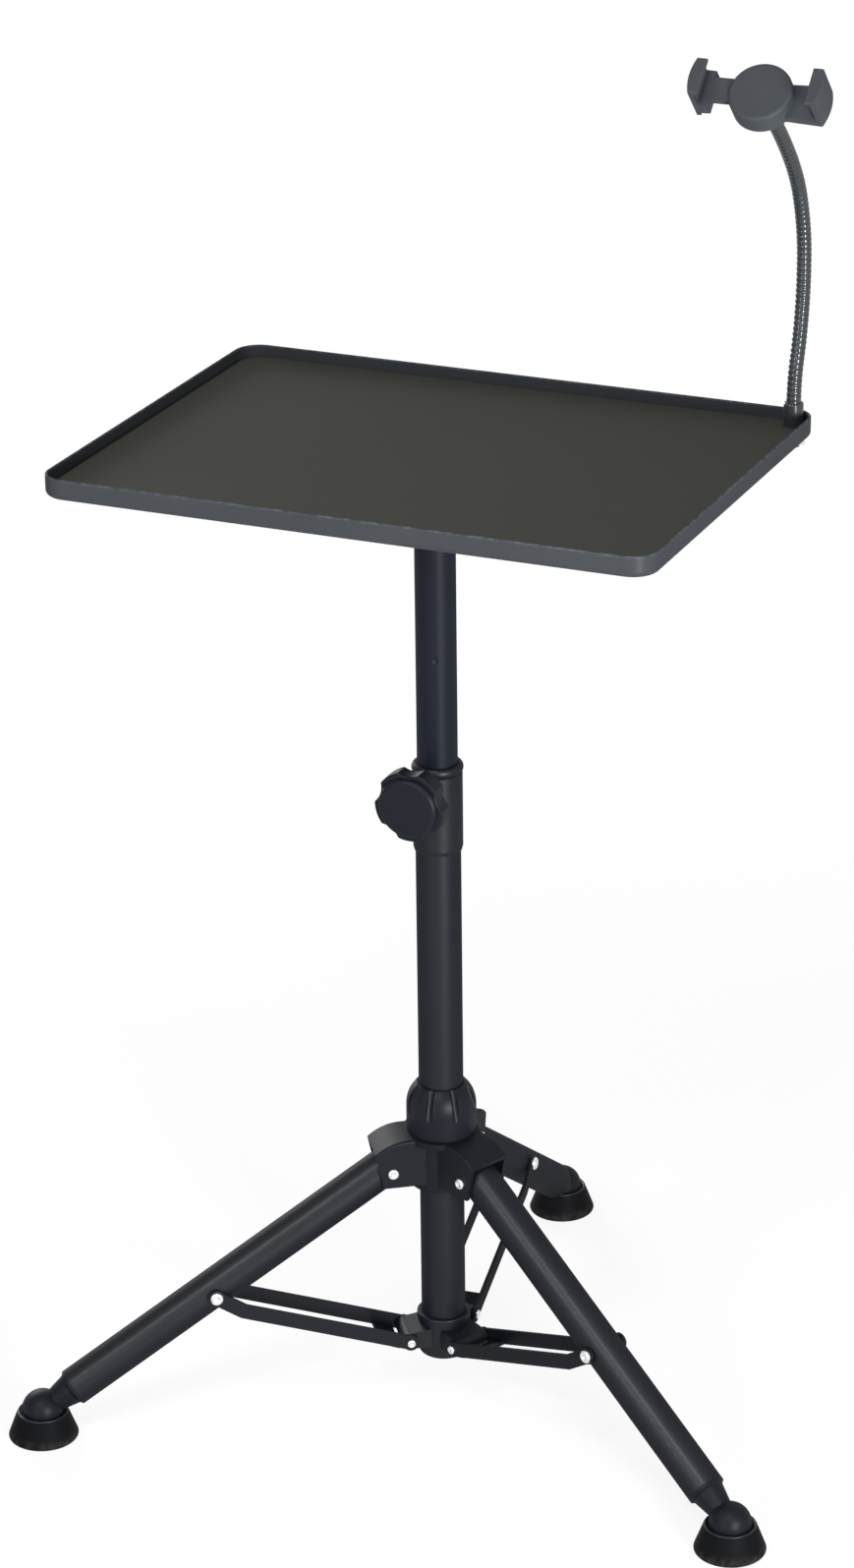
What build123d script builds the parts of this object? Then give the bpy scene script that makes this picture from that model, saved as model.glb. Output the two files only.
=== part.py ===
from build123d import *
from math import atan2, cos, hypot, radians, sin, tan
import os

# Portable projector stand: folding tripod, telescopic column, lipped tray and gooseneck phone holder.
# Millimetres. Z is up, the origin is on the floor under the column, X runs along the tray's long side
# and -Y is the front, where the clamp knob points.

# Clearances
seat_gap = 0.05
pin_gap = 0.1
slide_gap = 0.3
swing_gap = 0.4
cut_past = 1.0

# Column tubes
tube_d = 28.0
tube_wall = 1.2
tube_top = 434.0
column_d = 25.0
column_wall = 1.2
column_top = 624.0
column_length = 420.0
stop_mark_z = 507.0
stop_mark_azimuth = -68.0
stop_mark_r = 5.0
stop_mark_depth = 0.6

# Clamp sleeve with its boss, the clamp screw and the star knob
sleeve_below = 54.0
sleeve_wall = 1.3
sleeve_lip = 3.0
sleeve_bead_d = 31.8
sleeve_bead_h = 5.0
sleeve_groove = 0.6
sleeve_taper = 2.5
knob_below = 10.0
boss_d = 18.0
boss_reach = 27.0
screw_d = 8.0
knob_d = 45.0
knob_start = 34.0
knob_thick = 10.5
knob_lobes = 5
knob_scallop_d = 25.6
knob_scallop_pcd = 65.0
knob_corner = 1.2
knob_edge = 1.5
knob_face_d = 38.0
knob_face_h = 3.5
knob_face_edge = 3.0
knob_neck_d = 17.0
screw_in_knob = 9.0

# Tripod: three legs, each with its pivot in the hub, its brace and its foot
leg_azimuths = {"right": -25.0, "rear": 95.0, "left": 215.0}
hub_pivot_r = 34.0
hub_pivot_z = 167.0
collar_pivot_r = 24.0
collar_pivot_z = 44.5
foot_r = 259.3
ball_z = 18.5
brace_at = 136.5

# Legs and their ball ends
leg_d = 24.4
leg_wall = 1.5
leg_end_gap = 26.0
plug_depth = 14.0
plug_flange = 2.0
ball_d = 26.4
ball_neck_d = 15.6
neck_flare = 2.5
flange_cone = 1.5

# Feet
foot_base_d = 45.6
foot_top_d = 32.4
foot_height = 17.6
foot_round = 1.6
foot_lip_round = 0.9

# Hub
hub_bottom = 152.0
hub_top = 188.5
hub_web_bottom = 157.0
hub_sleeve_d = 40.0
hub_flange_d = 50.0
hub_flange_h = 4.0
arm_plate = 2.5
arm_reach = 45.0
arm_end_z = 180.5
arm_roof = 2.2
arm_crown = 2.0
arm_edge = 1.6
arm_toe_r = 40.0
collet_d = 34.0
collet_top = 208.0

# Ring nut on the collet
nut_gap = 0.3
nut_d = 44.0
nut_top = 221.0
nut_straight = 17.0
nut_mouth_d = 31.0
nut_grooves = 8
nut_groove_start = 3.0
nut_groove_d = 4.4
nut_groove_in = 0.2
nut_groove_end = 13.0

# Braces and rivets
bar_height = 9.5
bar_thick = 2.0
bar_eye_d = 10.6
brace_crank = 4.5
crank_run = 20.0
web_from = 6.5
web_to = 20.0
rivet_d = 5.0
rivet_head_d = 7.2
brace_head_d = 8.4
rivet_head_h = 1.4
rivet_rim_h = 0.5
rivet_dimple_d = 2.4
rivet_dimple = 0.5
small_rivet_d = 3.8
small_head_d = 5.6

# Spreader collar round the foot of the column
collar_bottom = 30.0
collar_top = 59.0
collar_floor = 3.0
collar_wall = 2.0
collar_round = 3.0
collar_lip = 0.9
collar_lip_h = 4.5
lug_d = 11.0
lug_rise = 1.5

# Tray, mat and the socket plate under it
tray_x = 381.0
tray_y = 283.4
tray_corner = 16.0
tray_bottom = 627.0
tray_height = 13.0
tray_wall = 1.6
tray_bend = 3.5
tray_rim_round = 0.7
mat_thick = 4.4
mat_gap = 2.2
plate_size = 110.0
plate_thick = 2.8
plate_corner = 14.0
socket_d = 33.0
socket_length = 28.0
plate_screw_spacing = 84.0
plate_screw_d = 5.0
plate_screw_head_d = 9.0
plate_screw_head_h = 2.4
plate_screw_edge = 0.8
plate_screw_cross = 5.0
plate_screw_slot = 1.1
plate_screw_recess = 1.3

# Gooseneck: base bushing in the tray's rear right corner, neck and ferrule
neck_x = 178.8
neck_y = 130.0
neck_heading = -94.6
bushing_d = 12.0
bushing_height = 19.0
bushing_edge = 1.2
stud_d = 8.0
stud_below = 7.0
nut_hex = 13.0
nut_thick = 5.0
neck_d = 9.0
neck_route = [(0, 19), (0, 33), (-7, 57), (-11.5, 88), (-10.5, 126), (6, 168.5), (37, 199.5)]
neck_arc_share = 0.45
ferrule_d = 11.4
ferrule_length = 11.0
joint_ball_d = 12.0
ball_stem_d = 6.0
ball_stem = 2.0

# Phone holder, with a ring that keeps it on the ball, one fixed and one sliding jaw
holder_lean = 45.0
holder_disc_d = 38.0
holder_thick = 13.0
holder_edge = 2.0
slot_floor = 1.0
ring_d = 19.0
ring_h = 2.8
jaw_gap = 71.0
jaw_height = 23.5
jaw_root_height = 20.0
jaw_thick = 4.8
jaw_bulge = 2.2
jaw_edge = 1.0
jaw_depth = 9.0
jaw_lip = 3.5
jaw_lip_thick = 2.6
wing_thick = 5.0
wing_root_height = 23.0
slide_bar_height = 15.0
slide_bar_thick = 4.0
slide_bar_end = 5.0
jaw_closing = 10.0


def save(builder, name):
    """Name a finished piece and write it as one STEP file."""
    builder.part.label = name
    export_step(builder.part, f"parts/{name}.step")


def leg_plane(azimuth):
    """The upright plane of one leg: local x runs outwards along the floor and local y runs up."""
    outwards = Vector(1, 0, 0).rotate(Axis.Z, azimuth)
    return Plane(origin=(0, 0, 0), x_dir=outwards, z_dir=outwards.cross(Vector(0, 0, 1)))


def in_plane(plane, x, y):
    """A point of an upright plane as a vector of the whole model."""
    return plane.from_local_coords(Vector(x, y, 0))


def side_faces(plane, x, y, reach):
    """The two faces at a reach either side of an upright plane, with their origins at one of its points."""
    middle = in_plane(plane, x, y)
    return [
        Plane(origin=middle + plane.z_dir * reach * turn, x_dir=plane.x_dir, z_dir=plane.z_dir * turn)
        for turn in (1, -1)
    ]


def rivet_head(face, diameter):
    """A domed rivet head with a dimple, standing on the origin of a face."""
    with BuildPart() as head:
        with BuildSketch(Plane(origin=face.origin, x_dir=face.x_dir, z_dir=-face.y_dir)):
            with BuildLine():
                Polyline(
                    (rivet_dimple_d / 2, rivet_head_h),
                    (0, rivet_head_h - rivet_dimple),
                    (0, 0),
                    (diameter / 2, 0),
                    (diameter / 2, rivet_rim_h),
                )
                TangentArc((diameter / 2, rivet_rim_h), (rivet_dimple_d / 2, rivet_head_h), tangent=(0, 1))
            make_face()
        revolve(axis=Axis(face.origin, face.z_dir))
    return head.part


def claw_outline(inner):
    """The outline of a jaw's claw, from its inner face to its bulged back."""
    with BuildSketch() as outline:
        with BuildLine():
            Polyline(
                (jaw_out - jaw_bulge, jaw_height / 2),
                (inner, jaw_height / 2),
                (inner, -jaw_height / 2),
                (jaw_out - jaw_bulge, -jaw_height / 2),
            )
            ThreePointArc(
                (jaw_out - jaw_bulge, -jaw_height / 2), (jaw_out, 0), (jaw_out - jaw_bulge, jaw_height / 2)
            )
        make_face()
    return outline.sketch


os.makedirs("parts", exist_ok=True)

leg_planes = {side: leg_plane(azimuth) for side, azimuth in leg_azimuths.items()}
leg_length = hypot(foot_r - hub_pivot_r, hub_pivot_z - ball_z)
leg_slope = atan2(hub_pivot_z - ball_z, foot_r - hub_pivot_r)
brace_r = hub_pivot_r + brace_at * cos(leg_slope)
brace_z = hub_pivot_z - brace_at * sin(leg_slope)
brace_length = hypot(brace_r - collar_pivot_r, brace_z - collar_pivot_z)
brace_slope = atan2(brace_z - collar_pivot_z, brace_r - collar_pivot_r)
tube_bottom = collar_bottom + collar_floor
sleeve_bottom = tube_top - sleeve_below
knob_z = tube_top - knob_below
knob_plane = Plane(origin=(0, 0, knob_z), x_dir=(1, 0, 0), z_dir=(0, -1, 0))
half_gap = jaw_gap / 2
jaw_out = half_gap + jaw_thick

# Lower tube, with a hole for the clamp screw
with BuildPart() as lower_tube:
    with BuildSketch(Plane.XY.offset(tube_bottom)):
        Circle(tube_d / 2)
        Circle(tube_d / 2 - tube_wall, mode=Mode.SUBTRACT)
    extrude(amount=tube_top - tube_bottom)
    with BuildSketch(knob_plane):
        Circle(screw_d / 2 + slide_gap)
    extrude(amount=tube_d, mode=Mode.SUBTRACT)
save(lower_tube, "lower_tube")

# Upper tube, which slides in the lower one
with BuildPart() as upper_tube:
    with BuildSketch(Plane.XY.offset(column_top)):
        Circle(column_d / 2)
        Circle(column_d / 2 - column_wall, mode=Mode.SUBTRACT)
    extrude(amount=-column_length)
    mark_out = Vector(column_d / 2 + stop_mark_r - stop_mark_depth, 0, stop_mark_z)
    with Locations(mark_out.rotate(Axis.Z, stop_mark_azimuth)):
        Sphere(stop_mark_r, mode=Mode.SUBTRACT)
save(upper_tube, "upper_tube")

# Clamp sleeve over the top of the lower tube
sleeve_in = tube_d / 2 + seat_gap
sleeve_out = sleeve_in + sleeve_wall
sleeve_top = tube_top + seat_gap + sleeve_lip
bead_bottom = sleeve_top - sleeve_bead_h
bead_top = (column_d / 2 + slide_gap + sleeve_bead_d / 2) / 2
with BuildPart() as clamp_sleeve:
    with BuildSketch(Plane.XZ):
        with BuildLine():
            Polyline(
                (bead_top, sleeve_top),
                (column_d / 2 + slide_gap, sleeve_top),
                (column_d / 2 + slide_gap, tube_top + seat_gap),
                (sleeve_in, tube_top + seat_gap),
                (sleeve_in, sleeve_bottom),
                ((sleeve_in + sleeve_out) / 2, sleeve_bottom),
                (sleeve_out, sleeve_bottom + sleeve_taper),
                (sleeve_out, bead_bottom - 2 * sleeve_groove),
                (sleeve_out - sleeve_groove, bead_bottom - sleeve_groove),
                (sleeve_out, bead_bottom),
            )
            ThreePointArc(
                (sleeve_out, bead_bottom),
                (sleeve_bead_d / 2, (bead_bottom + sleeve_top) / 2),
                (bead_top, sleeve_top),
            )
        make_face()
    revolve(axis=Axis.Z)
    with BuildSketch(knob_plane):
        Circle(boss_d / 2)
    extrude(amount=boss_reach)
    with BuildSketch(Plane.XY.offset(sleeve_bottom)):
        Circle(sleeve_in)
    extrude(amount=tube_top + seat_gap - sleeve_bottom, mode=Mode.SUBTRACT)
    with BuildSketch(knob_plane):
        Circle(screw_d / 2 + slide_gap)
    extrude(amount=boss_reach, mode=Mode.SUBTRACT)
save(clamp_sleeve, "clamp_sleeve")

# Clamp screw, whose tip bears on the upper tube
screw_tip = column_d / 2 + slide_gap
with BuildPart() as clamp_screw:
    with BuildSketch(knob_plane.offset(screw_tip)):
        Circle(screw_d / 2)
    extrude(amount=knob_start + screw_in_knob - screw_tip)
save(clamp_screw, "clamp_screw")

# Star knob
with BuildPart() as star_knob:
    with BuildSketch(knob_plane.offset(knob_start)) as knob_outline:
        Circle(knob_d / 2)
        with PolarLocations(knob_scallop_pcd / 2, knob_lobes, start_angle=90):
            Circle(knob_scallop_d / 2, mode=Mode.SUBTRACT)
        fillet(knob_outline.vertices(), radius=knob_corner)
    extrude(amount=knob_thick)
    fillet(star_knob.faces().sort_by(Axis.Y)[0].edges(), radius=knob_edge)
    with BuildSketch(knob_plane.offset(knob_start + knob_thick)):
        Circle(knob_face_d / 2)
    extrude(amount=knob_face_h)
    fillet(star_knob.faces().sort_by(Axis.Y)[0].edges(), radius=knob_face_edge)
    with BuildSketch(knob_plane.offset(boss_reach + slide_gap)):
        Circle(knob_neck_d / 2)
    extrude(amount=knob_start - boss_reach - slide_gap)
    with BuildSketch(knob_plane.offset(boss_reach + slide_gap)):
        Circle(screw_d / 2 + seat_gap)
    extrude(amount=knob_start + screw_in_knob - boss_reach - slide_gap, mode=Mode.SUBTRACT)
save(star_knob, "star_knob")

# Spreader collar: a cup round the tube's foot with a lug for each brace
brace_inner = leg_d / 2 + swing_gap
lug_width = 2 * (brace_inner - swing_gap)
collar_in = tube_d / 2 + seat_gap
with BuildPart() as spreader_collar:
    with BuildSketch(Plane.XY.offset(collar_bottom)):
        Circle(collar_in + collar_wall)
    extrude(amount=collar_top - collar_bottom)
    fillet(spreader_collar.faces().sort_by(Axis.Z)[0].edges(), radius=collar_round)
    with BuildSketch(Plane.XY.offset(collar_top - collar_lip_h)):
        Circle(collar_in + collar_wall + collar_lip)
    extrude(amount=collar_lip_h)
    fillet(spreader_collar.edges().filter_by(GeomType.CIRCLE).sort_by(Axis.Z)[-1], radius=collar_lip)
    for plane in leg_planes.values():
        with BuildSketch(plane):
            with BuildLine():
                Polyline(
                    (collar_pivot_r, collar_pivot_z + lug_d / 2),
                    (collar_in, collar_pivot_z + lug_d / 2 + lug_rise),
                    (0, collar_pivot_z + lug_d / 2 + lug_rise),
                    (0, collar_pivot_z - lug_d / 2),
                    (collar_pivot_r, collar_pivot_z - lug_d / 2),
                    close=True,
                )
            make_face()
            with Locations((collar_pivot_r, collar_pivot_z)):
                Circle(lug_d / 2)
        extrude(amount=lug_width / 2, both=True)
    for plane in leg_planes.values():
        with BuildSketch(plane):
            with Locations((collar_pivot_r, collar_pivot_z)):
                Circle(small_rivet_d / 2 + seat_gap)
        extrude(amount=lug_width, both=True, mode=Mode.SUBTRACT)
    with BuildSketch(Plane.XY.offset(tube_bottom)):
        Circle(collar_in)
    extrude(amount=collar_top - tube_bottom, mode=Mode.SUBTRACT)
save(spreader_collar, "spreader_collar")

# Collar rivets, on which the braces swing
bar_outer = brace_inner + bar_thick
small_head_at = bar_outer + pin_gap
with BuildPart() as collar_rivets:
    for plane in leg_planes.values():
        with BuildSketch(plane):
            with Locations((collar_pivot_r, collar_pivot_z)):
                Circle(small_rivet_d / 2)
        extrude(amount=small_head_at, both=True)
        for face in side_faces(plane, collar_pivot_r, collar_pivot_z, small_head_at):
            add(rivet_head(face, small_head_d))
save(collar_rivets, "collar_rivets")

# Hub: a sleeve sliding on the tube, a collet for the ring nut and a channel arm over each leg's end
hub_bore = tube_d / 2 + slide_gap
arm_inner = leg_d / 2 + swing_gap
arm_outer = arm_inner + arm_plate
channel_r = hub_pivot_r - leg_d / 2 - swing_gap
with BuildPart() as hub_arm:
    with BuildSketch(leg_plane(0)):
        with BuildLine():
            Polyline(
                (arm_reach, arm_end_z),
                (arm_toe_r, hub_web_bottom),
                (0, hub_web_bottom),
                (0, hub_top),
                (hub_flange_d / 2, hub_top),
            )
            ThreePointArc(
                (hub_flange_d / 2, hub_top),
                ((hub_flange_d / 2 + arm_reach) / 2, (hub_top + arm_end_z) / 2 + arm_crown),
                (arm_reach, arm_end_z),
            )
        make_face()
    extrude(amount=arm_outer, both=True)
    fillet(hub_arm.edges().filter_by(GeomType.CIRCLE), radius=arm_edge)
with BuildPart() as hub:
    with BuildSketch(Plane.XY.offset(hub_bottom)):
        Circle(hub_sleeve_d / 2)
    extrude(amount=hub_top - hub_bottom)
    for azimuth in leg_azimuths.values():
        add(hub_arm.part.rotate(Axis.Z, azimuth))
    for plane in leg_planes.values():
        with BuildSketch(plane):
            with BuildLine():
                Polyline(
                    (arm_reach, arm_end_z - arm_roof),
                    (arm_reach + leg_d, arm_end_z - arm_roof - leg_d),
                    (arm_reach, hub_bottom - cut_past),
                    (channel_r, hub_bottom - cut_past),
                    (channel_r, hub_top - hub_flange_h),
                    (hub_flange_d / 2, hub_top - arm_roof),
                    close=True,
                )
            make_face()
        extrude(amount=arm_inner, both=True, mode=Mode.SUBTRACT)
    with BuildSketch(Plane.XY.offset(hub_top)):
        Circle(hub_flange_d / 2)
    extrude(amount=-hub_flange_h)
    with BuildSketch(Plane.XY.offset(hub_top)):
        Circle(collet_d / 2)
    extrude(amount=collet_top - hub_top)
    with BuildSketch(Plane.XY.offset(hub_bottom)):
        Circle(hub_bore)
    extrude(amount=collet_top - hub_bottom, mode=Mode.SUBTRACT)
    for plane in leg_planes.values():
        with BuildSketch(plane):
            with Locations((hub_pivot_r, hub_pivot_z)):
                Circle(rivet_d / 2 + seat_gap)
        extrude(amount=2 * arm_outer, both=True, mode=Mode.SUBTRACT)
save(hub, "hub")

# Hub rivets, on which the legs swing
with BuildPart() as hub_rivets:
    for plane in leg_planes.values():
        with BuildSketch(plane):
            with Locations((hub_pivot_r, hub_pivot_z)):
                Circle(rivet_d / 2)
        extrude(amount=arm_outer, both=True)
        for face in side_faces(plane, hub_pivot_r, hub_pivot_z, arm_outer):
            add(rivet_head(face, rivet_head_d))
save(hub_rivets, "hub_rivets")

# Ring nut, which squeezes the collet onto the tube, with grip grooves that fade out down its dome
nut_bottom = hub_top + nut_gap
groove_r = nut_groove_d / 2
with BuildPart() as ring_nut:
    with BuildSketch(Plane.XZ):
        with BuildLine():
            Polyline(
                (nut_mouth_d / 2, nut_top),
                (hub_bore, nut_top),
                (hub_bore, collet_top + nut_gap),
                (collet_d / 2 + nut_gap, collet_top + nut_gap),
                (collet_d / 2 + nut_gap, nut_bottom),
                (nut_d / 2, nut_bottom),
                (nut_d / 2, nut_bottom + nut_straight),
            )
            TangentArc((nut_d / 2, nut_bottom + nut_straight), (nut_mouth_d / 2, nut_top), tangent=(0, 1))
        make_face()
    revolve(axis=Axis.Z)
    for groove in range(nut_grooves):
        groove_plane = leg_plane(nut_groove_start + groove * 360 / nut_grooves)
        groove_top = in_plane(groove_plane, nut_mouth_d / 2 - nut_groove_in + groove_r, nut_top)
        groove_low = in_plane(groove_plane, nut_d / 2 + groove_r, nut_bottom + nut_groove_end)
        groove_run = groove_top - groove_low
        with BuildSketch(Plane(origin=groove_low, z_dir=groove_run.normalized())):
            Circle(groove_r)
        extrude(amount=2 * groove_run.length, mode=Mode.SUBTRACT)
save(ring_nut, "ring_nut")

# Legs, leg ends, feet, braces and brace rivets
for side, plane in leg_planes.items():
    pivot = in_plane(plane, hub_pivot_r, hub_pivot_z)
    ball = in_plane(plane, foot_r, ball_z)
    down_leg = (ball - pivot).normalized()
    across = plane.z_dir
    leg_side = Plane(origin=pivot, x_dir=down_leg, z_dir=across)

    with BuildPart() as leg:
        with BuildSketch(leg_side):
            with BuildLine():
                bore_r = leg_d / 2 - leg_wall
                Polyline(
                    (0, leg_d / 2),
                    (leg_length - leg_end_gap, leg_d / 2),
                    (leg_length - leg_end_gap, bore_r),
                    (-((leg_d**2 / 4 - bore_r**2) ** 0.5), bore_r),
                )
                TangentArc((0, leg_d / 2), (-((leg_d**2 / 4 - bore_r**2) ** 0.5), bore_r), tangent=(-1, 0))
            make_face()
        revolve(axis=Axis(pivot, down_leg))
        with BuildSketch(leg_side):
            Circle(rivet_d / 2 + pin_gap)
        extrude(amount=leg_d, both=True, mode=Mode.SUBTRACT)
    save(leg, f"leg_{side}")

    with BuildPart() as leg_end:
        with BuildSketch(Plane(origin=ball, x_dir=-down_leg, z_dir=across)):
            with BuildLine():
                ball_meet = (ball_d**2 / 4 - ball_neck_d**2 / 4) ** 0.5
                Polyline(
                    (ball_meet, ball_neck_d / 2),
                    (leg_end_gap - plug_flange - flange_cone, ball_neck_d / 2 + neck_flare),
                    (leg_end_gap - plug_flange, leg_d / 2),
                    (leg_end_gap, leg_d / 2),
                    (leg_end_gap, leg_d / 2 - leg_wall - seat_gap),
                    (leg_end_gap + plug_depth, leg_d / 2 - leg_wall - seat_gap),
                    (leg_end_gap + plug_depth, 0),
                    (-ball_d / 2, 0),
                )
                ThreePointArc((-ball_d / 2, 0), (0, ball_d / 2), (ball_meet, ball_neck_d / 2))
            make_face()
        revolve(axis=Axis(ball, down_leg))
    save(leg_end, f"leg_end_{side}")

    with BuildPart() as foot:
        with BuildSketch(plane):
            with BuildLine():
                Polyline(
                    (foot_r, 0),
                    (foot_r + foot_base_d / 2, 0),
                    (foot_r + foot_top_d / 2, foot_height),
                    (foot_r, foot_height),
                    close=True,
                )
            make_face()
            with Locations((foot_r, ball_z)):
                Circle(ball_d / 2 + slide_gap, mode=Mode.SUBTRACT)
        revolve(axis=Axis(in_plane(plane, foot_r, 0), (0, 0, 1)))
        fillet(foot.faces().sort_by(Axis.Z)[0].edges(), radius=foot_round)
        fillet(foot.faces().filter_by(Axis.Z).sort_by(Axis.Z)[-1].outer_wire().edges(), radius=foot_lip_round)
    save(foot, f"foot_{side}")

    brace_plane = Plane(
        origin=in_plane(plane, collar_pivot_r, collar_pivot_z),
        x_dir=plane.x_dir * cos(brace_slope) + Vector(0, 0, 1) * sin(brace_slope),
        z_dir=across,
    )
    bar_end = Vector(brace_length, 0)
    crank = Vector(brace_length - crank_run, -brace_crank)
    web_at = (web_from + web_to) / 2
    with BuildPart() as brace:
        for bar_plane in (brace_plane.offset(brace_inner), brace_plane.offset(-bar_outer)):
            with BuildSketch(bar_plane):
                SlotCenterPoint(crank / 2, crank, bar_height)
                SlotCenterPoint((crank + bar_end) / 2, bar_end, bar_height)
                with Locations((0, 0), bar_end):
                    Circle(bar_eye_d / 2)
                Circle(small_rivet_d / 2 + pin_gap, mode=Mode.SUBTRACT)
                with Locations(bar_end):
                    Circle(rivet_d / 2 + seat_gap, mode=Mode.SUBTRACT)
            extrude(amount=bar_thick)
        with BuildSketch(brace_plane):
            with Locations((web_at, (bar_thick - bar_height) / 2 - brace_crank * web_at / crank.X)):
                Rectangle(web_to - web_from, bar_thick)
        extrude(amount=bar_outer, both=True)
    save(brace, f"brace_{side}")

    with BuildPart() as brace_rivets:
        for face in side_faces(brace_plane, brace_length, 0, bar_outer):
            with BuildSketch(face):
                Circle(rivet_d / 2)
            extrude(amount=-bar_thick)
            add(rivet_head(face, brace_head_d))
    save(brace_rivets, f"brace_rivets_{side}")

# Tray: a shallow steel pan with rounded corners and a hemmed rim
tray_top = tray_bottom + tray_height
floor_top = tray_bottom + tray_wall
with BuildPart() as tray:
    with BuildSketch(Plane.XY.offset(tray_bottom)):
        RectangleRounded(tray_x, tray_y, tray_corner)
    extrude(amount=tray_height)
    fillet(tray.faces().sort_by(Axis.Z)[0].edges(), radius=tray_bend)
    with BuildSketch(Plane.XY.offset(floor_top)):
        RectangleRounded(tray_x - 2 * tray_wall, tray_y - 2 * tray_wall, tray_corner - tray_wall)
    extrude(amount=tray_height, mode=Mode.SUBTRACT)
    tray_floor = tray.faces().filter_by(Axis.Z).sort_by(Axis.Z)[1]
    fillet(tray_floor.outer_wire().edges(), radius=tray_bend - tray_wall)
    fillet(tray.faces().sort_by(Axis.Z)[-1].edges(), radius=tray_rim_round)
    with BuildSketch(Plane.XY.offset(tray_bottom)):
        with Locations((neck_x, neck_y)):
            Circle(stud_d / 2 + seat_gap)
        with GridLocations(plate_screw_spacing, plate_screw_spacing, 2, 2):
            Circle(plate_screw_d / 2 + seat_gap)
    extrude(amount=tray_wall, mode=Mode.SUBTRACT)
save(tray, "tray")

# Mat lying in the tray, cut away round the gooseneck's base
mat_margin = 2 * (tray_wall + mat_gap)
mat_notch = bushing_d / 2 + slide_gap
with BuildPart() as mat:
    with BuildSketch(Plane.XY.offset(floor_top)):
        RectangleRounded(tray_x - mat_margin, tray_y - mat_margin, tray_corner - tray_wall - mat_gap)
        with Locations((neck_x - mat_notch, neck_y - mat_notch)):
            RectangleRounded(
                4 * mat_notch, 4 * mat_notch, mat_notch, align=Align.MIN, mode=Mode.SUBTRACT
            )
    extrude(amount=mat_thick)
save(mat, "mat")

# Socket plate under the tray
plate_bottom = tray_bottom - plate_thick
with BuildPart() as socket_plate:
    with BuildSketch(Plane.XY.offset(plate_bottom)):
        RectangleRounded(plate_size, plate_size, plate_corner)
        with GridLocations(plate_screw_spacing, plate_screw_spacing, 2, 2):
            Circle(plate_screw_d / 2 + seat_gap, mode=Mode.SUBTRACT)
    extrude(amount=plate_thick)
    with BuildSketch(Plane.XY.offset(plate_bottom)):
        Circle(socket_d / 2)
    extrude(amount=-socket_length)
    with BuildSketch(Plane.XY.offset(column_top + pin_gap)):
        Circle(column_d / 2 + pin_gap)
    extrude(amount=-column_length, mode=Mode.SUBTRACT)
save(socket_plate, "socket_plate")

# Screws that hold the tray to the socket plate
with BuildPart() as plate_screws:
    with BuildSketch(Plane.XY.offset(plate_bottom)):
        with GridLocations(plate_screw_spacing, plate_screw_spacing, 2, 2):
            Circle(plate_screw_d / 2)
    extrude(amount=plate_thick + tray_wall)
    with BuildSketch(Plane.XY.offset(plate_bottom)):
        with GridLocations(plate_screw_spacing, plate_screw_spacing, 2, 2):
            Circle(plate_screw_head_d / 2)
    extrude(amount=-plate_screw_head_h)
    fillet(plate_screws.faces().group_by(Axis.Z)[0].edges(), radius=plate_screw_edge)
    with BuildSketch(Plane.XY.offset(plate_bottom - plate_screw_head_h)):
        with GridLocations(plate_screw_spacing, plate_screw_spacing, 2, 2):
            Rectangle(plate_screw_cross, plate_screw_slot)
            Rectangle(plate_screw_slot, plate_screw_cross)
    extrude(amount=plate_screw_recess, mode=Mode.SUBTRACT)
save(plate_screws, "plate_screws")

# Gooseneck base: a bushing on the tray's floor with a stud through it
with BuildPart() as neck_base:
    with BuildSketch(Plane.XY.offset(floor_top)):
        with Locations((neck_x, neck_y)):
            Circle(bushing_d / 2)
    extrude(amount=bushing_height)
    fillet(neck_base.faces().sort_by(Axis.Z)[-1].edges(), radius=bushing_edge)
    with BuildSketch(Plane.XY.offset(floor_top)):
        with Locations((neck_x, neck_y)):
            Circle(stud_d / 2)
    extrude(amount=-tray_wall - stud_below)
save(neck_base, "neck_base")

with BuildPart() as neck_nut:
    with BuildSketch(Plane.XY.offset(tray_bottom)):
        with Locations((neck_x, neck_y)):
            RegularPolygon(nut_hex / 2, 6, major_radius=False)
            Circle(stud_d / 2 + seat_gap, mode=Mode.SUBTRACT)
    extrude(amount=-nut_thick)
save(neck_nut, "neck_nut")

# Gooseneck: straight runs joined by tangent arcs in one upright plane, leaning back and then over
heading = Vector(1, 0, 0).rotate(Axis.Z, neck_heading)
neck_plane = Plane(
    origin=(neck_x, neck_y, floor_top), x_dir=heading, z_dir=heading.cross(Vector(0, 0, 1))
)


def arc_radii(route):
    """The largest even arc at each corner of a route: a share of its shorter run."""
    points = [Vector(*point) for point in route]
    radii = []
    for before, corner, after in zip(points, points[1:], points[2:]):
        turn = (corner - before).get_angle(after - corner)
        run = min((corner - before).length, (after - corner).length)
        radii.append(neck_arc_share * run / tan(radians(turn / 2)))
    return radii


neck_end = Vector(*neck_route[-1])
neck_tangent = (neck_end - Vector(*neck_route[-2])).normalized()
with BuildPart() as gooseneck:
    with BuildLine(neck_plane) as neck_path:
        FilletPolyline(*neck_route, radius=arc_radii(neck_route))
    with BuildSketch(Plane(origin=neck_path.line @ 0, z_dir=neck_path.line % 0)):
        Circle(neck_d / 2)
    sweep(path=neck_path.line)
save(gooseneck, "gooseneck")

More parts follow.
